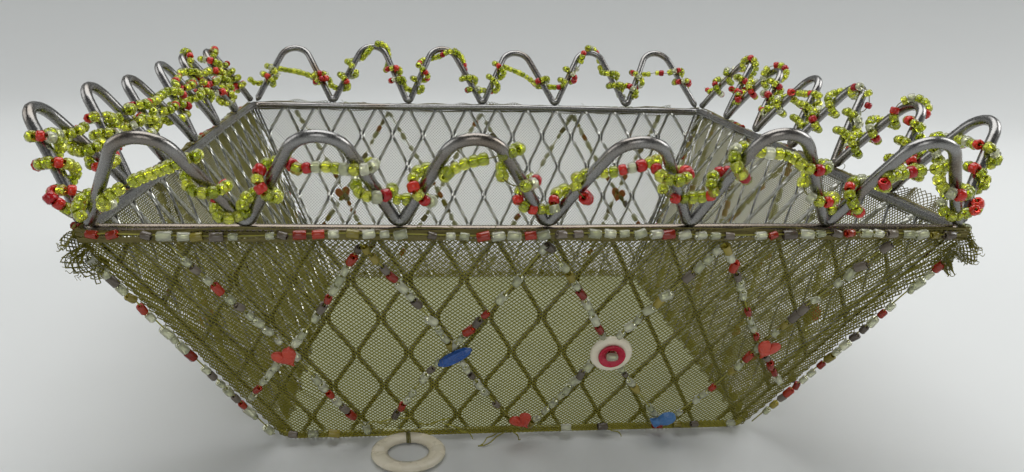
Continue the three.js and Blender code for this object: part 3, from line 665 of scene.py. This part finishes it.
# Hem: the net's doubled lower edge, from the foot of the walls round and under the base. The profile gives how far
# out and how high each fold lies
hem = {"half": 80.3, "bend": 6.0, "straight": 30, "cell": 1.45, "row": 0.75, "thread": 0.32, "overlap": 0.01,
       "profile": [[82.5, 3.9], [81.2, 0.95], [80.6, 0.3], [79.6, 0.06], [66.6, 0.06]]}
hemProfile = np.array(hem["profile"])
hemDown = runLength(hemProfile)
hemLine = roundedSquare(hem["half"], hem["bend"], hem["straight"])
hemLine = np.concatenate([hemLine, hemLine[:1]])
hemRun = runLength(hemLine)
hemLength = hemRun[-1]


def folded(along, down):
    # Along the base's edge in plan, scaled by how far out the folded profile stands at this depth
    away, rise = np.moveaxis(follow(down, hemDown, hemProfile), -1, 0)
    plan = follow(np.mod(along, hemLength), hemRun, hemLine) * (away / hem["half"])[..., None]
    return np.concatenate([plan, rise[..., None]], -1)


# Loose tails of thread on the front: a start, a direction and a length each
tails = {"fray": {"curl": 0.7, "turns": 1.2, "radius": 0.26},
         "start": [[-24.0, -85.5, 9.0], [-27.0, -84.5, 7.0], [-22.0, -84.0, 5.0], [-5.0, -82.0, 1.6],
                   [-8.0, -82.0, 1.2], [-3.0, -82.5, 2.0], [-48.0, -86.0, 8.5], [-44.0, -85.8, 8.0],
                   [30.0, -82.5, 2.4]],
         "aim": [[-1.0, -0.2, -0.1], [1.0, -0.25, -0.3], [0.6, -0.4, -0.2], [-1.0, -0.9, -0.08],
                 [-0.9, -0.9, -0.05], [0.5, -1.0, -0.1], [1.0, -0.2, 0.3], [-0.8, -0.3, 0.2], [0.7, -0.8, -0.1]],
         "length": [11.0, 9.0, 7.0, 13.0, 9.0, 6.0, 12.0, 8.0, 6.0]}
tailThreads = frays(np.array(tails["start"]), np.array(tails["aim"]), np.array(tails["length"]), tails["fray"], 5)
makePiece("looseTails", tailThreads, tulle["looseThread"])
hemGauge = {**hem, "cell": hemLength / np.round(hemLength / hem["cell"])}
hemNet = knit(0.0, hemLength + hem["overlap"], hemDown[-1], hemGauge, lifted(folded))
hemPiece = makePiece("tulleHem", hemNet, tulle["foldedTulle"], nodes=["net_hem"], smooth=False)
print("hem folded,", len(hemPiece.data.polygons), "faces")

# Tufts: the net's spare corner, gathered into ruffles that stand out of each rim corner and fray
tuft = {"length": 22.0, "reach": 7.4, "cell": 1.2, "row": 0.65, "thread": 0.2, "layers": 2, "low": 83.0, "over": 2.0,
        "out": 2.0, "inset": 1.0, "waves": 2.6, "layerPhase": 1.7, "cornerPhase": 0.9, "swing": 2.8, "apart": 1.6,
        "uneven": 0.28, "unevenPace": 0.7, "taper": 0.45, "lower": 1.0, "droop": 3.4, "ripple": 1.3, "frays": 24,
        "fringe": 0.94, "spread": (0.1, 0.95), "beside": (0, 0.9), "upward": (-0.2, 0.7), "lengths": (0.8, 2.4),
        "fray": {"curl": 0.7, "turns": 1.1, "radius": 0.14}}
for corner, cornerName in enumerate(cornerNames):
    diagonal, beside = (np.append(circle(1, 1.0, corner * turn / 4 + way * turn / 8)[0], 0.0) for way in (-1, 1))
    layers = []
    for layer in range(tuft["layers"]):
        def gathered(along, reach, layer=layer, corner=corner, diagonal=diagonal, beside=beside):
            # From the corner edge outwards: the reach grows and droops, and folds swing it from side to side
            share, stand = along / tuft["length"], reach / tuft["reach"]
            up = tuft["low"] + share * (slope + tuft["over"] - tuft["low"])
            root = halfWidth(up, tuft["out"]) * np.sqrt(2) - tuft["inset"]
            fold = share * turn * tuft["waves"] + tuft["layerPhase"] * layer + tuft["cornerPhase"] * corner
            uneven = 1 - tuft["uneven"] + tuft["uneven"] * np.sin(fold * tuft["unevenPace"])
            out = root + reach * uneven * (1 - tuft["taper"] + tuft["taper"] * np.sin(share * np.pi))
            swing = stand * (tuft["swing"] * np.sin(fold) + (layer - 0.5) * tuft["apart"])
            drop = tuft["lower"] + tuft["droop"] * stand ** 2 - tuft["ripple"] * stand * np.cos(fold)
            height = up * leanCosine - drop
            return out[..., None] * diagonal + swing[..., None] * beside + height[..., None] * upright
        layers.append(knit(0.0, tuft["length"], tuft["reach"], tuft, lifted(gathered)))
    draw, count = np.random.default_rng(40 + corner), tuft["frays"]
    fringe = gathered(draw.uniform(*tuft["spread"], count) * tuft["length"],
                      np.full(count, tuft["reach"] * tuft["fringe"]))
    aim = diagonal + beside * draw.normal(*tuft["beside"], (count, 1))
    aim = aim + upright * draw.normal(*tuft["upward"], (count, 1))
    layers.append(frays(fringe, aim, draw.uniform(*tuft["lengths"], count), tuft["fray"], 70 + corner))
    makePiece("tulleTuft_" + cornerName, join(*layers), tulle["nylonTulle"],
                                       nodes=["tuft_" + cornerName], smooth=False)
print("corners gathered")

beadSides = 8
beadLining = np.tile([1.0, 0.0, 0.0, 0.0, 0.0, 1.0], beadSides)


def turnedBead(length, diameter, bore, belly=0.3, end=0.78, inner=0.4):
    # Bead turned about its bore: flat ends, a belly of even width and a lined hole, carried round the x axis
    half = np.array([[bore / diameter, inner], [end, 0.5], [1.0, belly]])
    outline = np.concatenate([half, half[::-1] * np.array([1, -1])]) * np.array([diameter / 2, length])
    points, faces = turned(outline, beadSides)
    return points[:, [2, 0, 1]], faces


def makeBeads(name, shape, places, along, outward, colour, nodes, seed, spread=0.16):
    # A string's beads of one colour: copies a little different in size, each with its own shade
    draw = np.random.default_rng(seed)
    sizes = 1 + draw.uniform(-spread, spread, (len(places), 1)) * np.array([1.0, 0.6, 0.6])
    shade = draw.uniform(0, 1, len(places))
    return makePiece(name, copies(shape, places, along, outward, sizes), beadGlass[colour], nodes=nodes,
                     values={"lining": np.tile(beadLining, len(places)), "shade": np.repeat(shade, len(shape[0]))})


def pickBeads(draw, string, count):
    # Which places of a string have a bead of each colour, by chance
    kind = draw.choice(len(string["mix"]), count, p=[share for share, slot in string["mix"].values()])
    filled = draw.random(count) < string["filled"]
    return [filled & (kind == k) for k in range(len(string["mix"]))]


def stringBeads(name, shape, string, picked, place, along, outward, nodes, seed):
    # All the beads of a string, colour by colour; the first colour stands for the CAD nodes
    for k, (colour, (share, slot)) in enumerate(string["mix"].items()):
        chosen = picked[k]
        makeBeads(colour + name, shape, place[chosen], along[chosen], outward[chosen], colour,
                  [] if k else nodes, seed + k, string["sizes"])


# Garland: seed beads on a thread that winds up one leg of an arch, spans the arch and winds down the other leg.
# seen gives four heights on the legs of each arch, over which arches it follows over the top instead of spanning
# them, extra where it winds more often, and stops where along it each leg and span ends
garland = {"length": 2.35, "diameter": 3.2, "bore": 1.1, "pitch": 2.42, "slack": 0.1, "waver": 0.7, "samples": 220,
           "filled": 0.94, "levels": [0.3, 0.6, 0.74, 0.28], "spread": 0.14, "inside": (0.04, 0.96),
           "spanTurns": 0.35, "overTurns": 1.0, "legTurns": (0.55, 1.45), "stops": [0, 0.27, 0.42, 0.86, 1.0],
           "ease": 0.05, "near": 0.75, "sag": 1.6, "sagPace": 9, "waverPace": (3, 1.3), "wound": 0.1,
           "twist": 0.3, "smooth": 3, "thread": 0.2, "sizes": 0.16,
           "seen": {0: [[0.1, 0.36, 0.84, 0.15], [0.14, 0.82, 0.8, 0.3], [0.33, 0.78, 0.96, 0.3],
                        [0.18, 0.58, 0.9, 0.46], [0.42, 0.9, 0.94, 0.16], [0.2, 0.7, 0.76, 0.16]],
                    1: [[0.08, 0.8, 0.92, 0.2], [0.3, 0.9, 0.9, 0.25], [0.35, 0.9, 0.9, 0.3],
                        [0.4, 0.85, 0.84, 0.3], [0.45, 0.9, 0.9, 0.4], [0.35, 0.85, 0.9, 0.3]],
                    3: [[0.2, 0.9, 0.9, 0.2], [0.2, 0.85, 0.9, 0.35], [0.45, 0.86, 0.84, 0.4],
                        [0.4, 0.8, 0.82, 0.45], [0.45, 0.78, 0.8, 0.35], [0.3, 0.86, 0.86, 0.06]]},
           "over": [[0, 0, 0, 0, 0, 0], [0, 1, 1, 0, 1, 1], [0, 1, 0, 1, 1, 0], [1, 1, 0, 0, 0, 0]],
           "extra": [[0, 0, 0, 0, 0, 0], [0.8, 0.6, 0.4, 0.5, 0.5, 0.6], [0.4, 0.4, 0.4, 0.4, 0.4, 0.8],
                     [2.5, 1.5, 0.8, 0.5, 0.9, 0.9]],
           "mix": {"limeGlass": (0.72, "lime_glass"), "rubyGlass": (0.17, "red_plastic"),
                   "clearGlass": (0.11, "clear_glass")}}
seedBead = turnedBead(garland["length"], garland["diameter"], garland["bore"])
archRun = runLength(archLine)
footRun = archRun[crown["footSteps"] - 1]
stops = np.array(garland["stops"])
tiltStops = np.insert(stops, [2, 4], [stops[1:3].mean(), stops[3:].mean()])
legTilt = turn / 4 + legAngle * np.array([1, 1, 0, -1, -1, 0, 1])
share = np.linspace(0, 1, garland["samples"], endpoint=False)


def onLegs(levels):
    # Points at heights on the legs of an arch: two on the left leg, two on the right, one on the next left leg
    points = legStart + (legEnd - legStart) * levels[:, None]
    points[2:4, 0] = archPitch - points[2:4, 0]
    points[4, 0] += archPitch
    return points


def inSpan(start, end):
    # 1 between two stops, easing to 0 at both
    return np.clip(np.minimum(share - start, end - share) / garland["ease"], 0, 1)


for side, sideName in enumerate(sideNames):
    draw = np.random.default_rng(300 + side)
    strung, wound = [], draw.uniform(-garland["wound"], garland["wound"])
    loose = np.array(garland["levels"]) + draw.uniform(-1, 1, (crown["arches"], 4)) * garland["spread"]
    heights = np.array(garland["seen"].get(side, np.clip(loose, *garland["inside"])))
    for arch in range(crown["arches"]):
        levels = np.append(heights[arch], heights[min(arch + 1, crown["arches"] - 1), 0])
        fewest, perLeg = garland["legTurns"]
        legTurns = fewest + garland["extra"][side][arch] + perLeg * np.abs(levels[[1, 2]] - levels[[0, 3]])
        turns = np.array([legTurns[0], garland["spanTurns"], legTurns[1], garland["spanTurns"]])
        middle = follow(share, stops, onLegs(levels))
        span = np.maximum(inSpan(*stops[1:3]), inSpan(*stops[3:]))
        if garland["over"][side][arch]:
            # Over the top: the middle of the winding follows the bent wire between the two legs
            ends = [footRun + levels[1] * legLength, archRun[-1] - footRun - levels[2] * legLength]
            onWire = follow(np.interp(share, stops[1:3], ends), archRun, archLine)
            climbing = (share > stops[1]) & (share < stops[2])
            middle = np.where(climbing[:, None], onWire, middle)
            span = np.where(climbing, 0, span)
            turns[1] += garland["overTurns"]
        angle = turn * (wound + np.interp(share, stops, np.concatenate([[0], np.cumsum(turns)])))
        wound += turns.sum()
        tilt = np.interp(share, tiltStops, legTilt)
        slow = [np.sin(share * turn * pace + draw.uniform(0, turn)) for pace in garland["waverPace"]]
        waver = garland["waver"] * (0.5 + 0.5 * slow[0] * slow[1])
        reach = (wireRadius + garland["diameter"] / 2 + garland["slack"] + waver) * (1 - garland["near"] * span)
        sag = np.abs(garland["sag"] * span * np.sin(share * garland["sagPace"]))
        sideways = reach * np.sin(angle)
        strung.append(bentArch(side, arch, middle[:, 0] + sideways * np.cos(tilt),
                               middle[:, 1] + sideways * np.sin(tilt) - sag, reach * np.cos(angle)))
    # The thread evens out sharp turns: each point becomes the mean of its neighbours
    reachOver = 2 * garland["smooth"] + 1
    padded = np.pad(np.concatenate(strung), ((garland["smooth"], garland["smooth"]), (0, 0)), mode="edge")
    smoothed = np.stack([np.convolve(column, np.ones(reachOver) / reachOver, "valid") for column in padded.T], -1)
    place, along = evenly(smoothed, garland["pitch"])
    outward = wallAxes(side)[2] + along[:, [2, 0, 1]] * garland["twist"]
    stringBeads("Garland_" + sideName, seedBead, garland, pickBeads(draw, garland, len(place)), place, along, outward,
                ["garland_" + sideName], 500 + 10 * side)
    makePiece("garlandThread_" + sideName, thread(smoothed[::2], garland["thread"]), tulle["nylonTulle"])
print("garlands wound")

# Sewn strings: bugle beads along the rim, in two crossing zigzags on each wall, and down each corner. A few stray
# beads lie along the hem, but none where the hanging ring swings
sewn = {"length": 3.1, "diameter": 2.4, "bore": 0.8, "belly": 0.42, "end": 0.88, "pitch": 4.3, "out": 3.75,
        "node": 49.0, "top": 92.6, "low": 3.8, "margin": 3.0, "samples": 60, "sway": 1.0, "swayPace": 8,
        "filled": 0.85, "slip": 0.35, "askew": 0.13, "sizes": 0.26, "thread": 0.26, "threadIn": 0.4,
        "mix": {"clearGlass": (0.6, "clear_glass"), "emberGlass": (0.17, "red_plastic"), "smokeGlass": (0.15, None),
                "oliveGlass": (0.08, "lime_glass")}}
rimString = {"up": 95.9, "out": 3.6, "margin": 5.0, "samples": 90, "sway": 0.5, "swayLength": 11.0}
hemString = {"up": 5.6, "out": 4.0, "margin": 4.0, "pitch": 6.5, "filled": 0.5, "ringSpace": (-58.0, -18.0)}
cornerString = {"top": 88.0, "low": 5.0, "out": 3.4, "pitch": 3.9, "samples": 40, "down": -0.5}
bugle = turnedBead(sewn["length"], sewn["diameter"], sewn["bore"], sewn["belly"], sewn["end"])
zigzag = [(-2, -1), (-1, -2), (-1, 0), (0, -1), (0, 1), (1, 0), (1, 2), (2, 1)]


def sewBeads(name, place, along, outward, nodes, seed):
    # Bugle beads with gaps, each slipped and turned a little on its thread
    draw = np.random.default_rng(seed)
    picked = pickBeads(draw, sewn, len(place))
    loose = along + draw.normal(0, sewn["askew"], along.shape)
    place = place + along * draw.normal(0, sewn["slip"], (len(place), 1))
    stringBeads("Sewn_" + name, bugle, sewn, picked, place, loose, np.broadcast_to(outward, place.shape), nodes,
                seed + 50)


def straightAcross(string, samples):
    # Even steps across a wall at a string's height, short of both ends
    return np.linspace(-1, 1, samples) * (halfWidth(string["up"], string["out"]) - string["margin"])


for side, sideName in enumerate(sideNames):
    outward = wallAxes(side)[2]
    lines, draw = [], np.random.default_rng(800 + side)
    for topNode, lowNode in zigzag:
        share = np.linspace(0, 1, sewn["samples"])
        across = sewn["node"] * (topNode + (lowNode - topNode) * share)
        across = across + sewn["sway"] * np.sin(share * sewn["swayPace"] + topNode)
        up = sewn["top"] + (sewn["low"] - sewn["top"]) * share
        kept = np.abs(across) < halfWidth(up, sewn["out"]) - sewn["margin"]
        lines.append(onWall(side, across[kept], up[kept], sewn["out"]))
    across = straightAcross(rimString, rimString["samples"])
    up = rimString["up"] + rimString["sway"] * np.sin(across / rimString["swayLength"] + side)
    lines.append(onWall(side, across, up, rimString["out"]))
    hemAcross = straightAcross(hemString, sewn["samples"])
    stray, strayWay = evenly(onWall(side, hemAcross, hemString["up"], hemString["out"]), hemString["pitch"])
    ringLeft, ringRight = hemString["ringSpace"]
    clear = (stray[:, 0] < ringLeft) | (stray[:, 0] > ringRight) | (side != 0)
    stays = clear & (draw.random(len(stray)) < hemString["filled"])
    parts = [evenly(line, sewn["pitch"]) for line in lines] + [(stray[stays], strayWay[stays])]
    place, along = (np.concatenate(some) for some in zip(*parts))
    sewBeads(sideName, place, along, outward, ["wall_beads_" + sideName, "rim_beads_" + sideName], 900 + 10 * side)
    threads = [thread(line - outward * sewn["threadIn"], sewn["thread"]) for line in lines]
    makePiece("sewingThread_" + sideName, join(*threads), tulle["looseThread"])
for corner, cornerName in enumerate(cornerNames):
    up = np.linspace(cornerString["top"], cornerString["low"], cornerString["samples"])
    half = halfWidth(up, cornerString["out"])
    spin = np.linalg.matrix_power(quarterTurn, corner)
    height = up * leanCosine - cornerString["out"] * leanSine
    line = np.concatenate([np.stack([half, -half], -1) @ spin, height[:, None]], 1)
    place, along = evenly(line, cornerString["pitch"])
    diagonal = np.append(np.array([1.0, -1.0]) @ spin, cornerString["down"])
    sewBeads(cornerName, place, along, diagonal, ["corner_beads_" + cornerName], 1000 + 10 * corner)
    makePiece("cornerThread_" + cornerName, thread(line - unit(diagonal) * sewn["threadIn"], sewn["thread"]),
              tulle["looseThread"])
print("strings sewn")

# Ornaments at the crossings of the strings: about half way up, or low down. Each has its kind, its side, its place
# across in strings, its height and the angle that turns it on the wall
crossing = {"half": 0.487, "low": 0.085, "out": 5.2}
heart = {"width": 7.8, "tall": 1.14, "thick": 2.4, "rings": 7, "around": 40, "middle": 0.02, "dome": 2.6}
oval = {"length": 12.2, "width": 4.1, "thick": 3.6, "rings": 9, "round": 2.6, "blunt": 0.06, "sides": 8, "lift": 0.6}
ornaments = {
    "heart_front_left": ("heart", 0, -1.5, "half", 0.5), "heart_front_right": ("heart", 0, 1.52, "half", -0.3),
    "heart_front_low": ("heart", 0, 0.0, "low", 0.55), "oval_bead_front": ("oval", 0, -0.485, "half", 0.66),
    "bow_bead_front": ("bow", 0, 0.985, "low", 0.5),
}
# On the other three sides two hearts and an oval bead
otherSides = [("near", "far", 0.5), ("right", "left", -0.5), ("far", "near", 0.5)]
for side, (left, right, across) in enumerate(otherSides, 1):
    hearts = "heart_" + sideNames[side] + "_"
    ornaments[hearts + left] = ("heart", side, -1.5, "half", 0.3)
    ornaments[hearts + right] = ("heart", side, 1.5, "half", -0.3)
    ornaments["oval_bead_" + sideNames[side]] = ("oval", side, across, "half", 0.3)


def heartShape():
    # Pillow heart: a curve of a sine cubed across and four cosines up, shrunk ring by ring and domed on both faces
    angle = np.linspace(0, turn, heart["around"], endpoint=False)[::-1]
    upCurve = 13 * np.cos(angle) - 5 * np.cos(2 * angle) - 2 * np.cos(3 * angle) - np.cos(4 * angle)
    curve = np.stack([16 * np.sin(angle) ** 3, upCurve], -1) / 32 + np.array([0, 0.1])
    share = np.sin(np.linspace(heart["middle"], 1, heart["rings"]) * turn / 4)
    height = np.sqrt(np.maximum(1 - share ** heart["dome"], 0)) * heart["thick"] / 2
    return layered(np.concatenate([share, share[-2::-1]]), curve * heart["width"] * np.array([1.0, heart["tall"]]),
                   np.concatenate([-height, height[-2::-1]]))


def ovalShape(halves):
    # Bead with a long profile: at each place along x its section is an ellipse, with eight cut faces
    along, wide, thick = np.array(halves).T[..., None]
    ring = circle(oval["sides"], 1.0, turn / oval["sides"] / 2)
    return loft(np.stack(np.broadcast_arrays(along, wide * ring[:, 0], thick * ring[:, 1]), -1)[None])


ovalEnds = np.linspace(-1, 1, oval["rings"])
ovalSwell = np.sqrt(np.maximum(1 - np.abs(ovalEnds) ** oval["round"], oval["blunt"]))
ovalSections = np.stack([ovalEnds * oval["length"], ovalSwell * oval["width"], ovalSwell * oval["thick"]], -1) / 2
# Bow: a wide tail that narrows to a waist, then a round body; place along it, half width and half thickness in mm
bowSections = [[-4.1, 2.6, 1.0], [-3.6, 2.7, 1.4], [-2.4, 1.7, 1.5], [-1.6, 1.3, 1.4], [-0.6, 2.1, 1.8],
               [0.9, 2.6, 2.1], [2.5, 2.4, 1.9], [3.7, 1.6, 1.4], [4.2, 0.8, 0.8]]
shapes = {"heart": (heartShape(), "redAcrylic", "red_plastic", True, 0.0),
          "oval": (ovalShape(ovalSections), "blueAcrylic", "blue_plastic", False, oval["lift"]),
          "bow": (ovalShape(bowSections), "skyAcrylic", "blue_plastic", False, oval["lift"])}


def atCrossing(side, across, height, out):
    # Place on a wall, across in strings and up by the share of a string's run
    return onWall(side, across * sewn["node"], sewn["low"] + crossing[height] * (sewn["top"] - sewn["low"]), out)


for node, (kind, side, across, height, angle) in ornaments.items():
    shape, finish, slot, smooth, lift = shapes[kind]
    origin = atCrossing(side, across, height, crossing["out"] + lift)
    alongRim, upSlope, outward = wallAxes(side)
    along = alongRim * np.cos(angle) + upSlope * np.sin(angle)
    makePiece(node.replace("_", ".", 1), copies(shape, origin[None], along[None], outward[None]), moulded[finish],
              nodes=[node], smooth=smooth)

# Button: a cream washer with soft edges, a red cup in it and a clear bead in the cup, all tipped up a little. The
# outlines give a radius and a height
button = {"across": 0.5, "out": 4.9, "tilt": 0.2, "bead": (3.2, 2.5, 0.9), "beadOut": 2.2,
          "washer": [[2.2, 1.1], [3.0, 1.35], [4.6, 1.4], [6.1, 1.3], [6.6, 0.8], [6.6, 0.3], [6.1, 0.0], [2.2, 0.0]],
          "cup": [[1.8, 1.4], [2.5, 1.6], [3.5, 2.1], [3.95, 2.45], [4.25, 2.2], [4.2, 1.7], [3.7, 1.45],
                  [1.75, 1.2]]}
buttonPlace = atCrossing(0, button["across"], "half", button["out"])[None]
rimWay, outLean = np.array([[1.0, 0.0, 0.0]]), np.arcsin(leanSine) - button["tilt"]
outWay = np.array([[0.0, -np.cos(outLean), -np.sin(outLean)]])
makePiece("buttonWasher", copies(turned(button["washer"]), buttonPlace, rimWay, outWay), moulded["creamPlastic"],
          nodes=["button_front"])
makePiece("buttonCup", copies(turned(button["cup"]), buttonPlace, rimWay, outWay), moulded["crimsonAcrylic"],
          nodes=["button_cup_front"])
makeBeads("clearButtonBead", turnedBead(*button["bead"]), buttonPlace + outWay * button["beadOut"], rimWay, outWay,
          "clearGlass", ["button_bead_front"], 77)
print("ornaments set")

# Hanging ring: a flat cream ring with a step where its end overlaps, and the thread that holds it to the hem. The
# outline gives shares of its width and thickness
ring = {"place": -38.0, "outer": 12.0, "hole": 6.75, "thick": 1.8, "low": 0.3, "gap": 0.4, "around": 72,
        "step": 0.75, "stepWidth": 0.5, "stepAt": 0.96,
        "outline": [[0.0, 0.75], [0.3, 1.0], [0.85, 1.0], [1.0, 0.7], [1.0, 0.3], [0.9, 0.0], [0.08, 0.0],
                    [0.0, 0.25]]}
loop = {"turns": 3, "pitch": 0.5, "away": 3.2, "wide": 3.1, "middle": 1.3, "tall": 1.25, "samples": 60,
        "thread": 0.22}
ringAngle = np.arange(ring["around"]) / ring["around"] * turn
fromStep = np.mod(ringAngle - np.pi * ring["stepAt"], turn)
ringHeight = ring["thick"] - ring["step"] * np.clip(1 - fromStep / ring["stepWidth"], 0, 1)
ringAcross, ringRise = np.array(ring["outline"]).T
ringRadius = ring["hole"] + (ring["outer"] - ring["hole"]) * ringAcross
ringMiddle = np.array([ring["place"], -(hem["half"] + ring["gap"] + ring["outer"]), ring["low"]])
ringRings = ringMiddle + np.stack([np.cos(ringAngle)[:, None] * ringRadius, np.sin(ringAngle)[:, None] * ringRadius,
                                   ringHeight[:, None] * ringRise], -1)
makePiece("hangingRing", loft(ringRings[None], True), moulded["creamPlastic"], body="ring",
          nodes=["hanging_ring"])
loopTurn = np.linspace(0, loop["turns"] * turn, loop["samples"])
loopPath = np.stack([ring["place"] + (loopTurn / turn - loop["turns"] / 2) * loop["pitch"],
                     -(hem["half"] + loop["away"]) + loop["wide"] * np.cos(loopTurn),
                     loop["middle"] + loop["tall"] * np.sin(loopTurn)], -1)
makePiece("ringThread", thread(loopPath, loop["thread"]), tulle["nylonTulle"], body="ring")
print("ring hung")
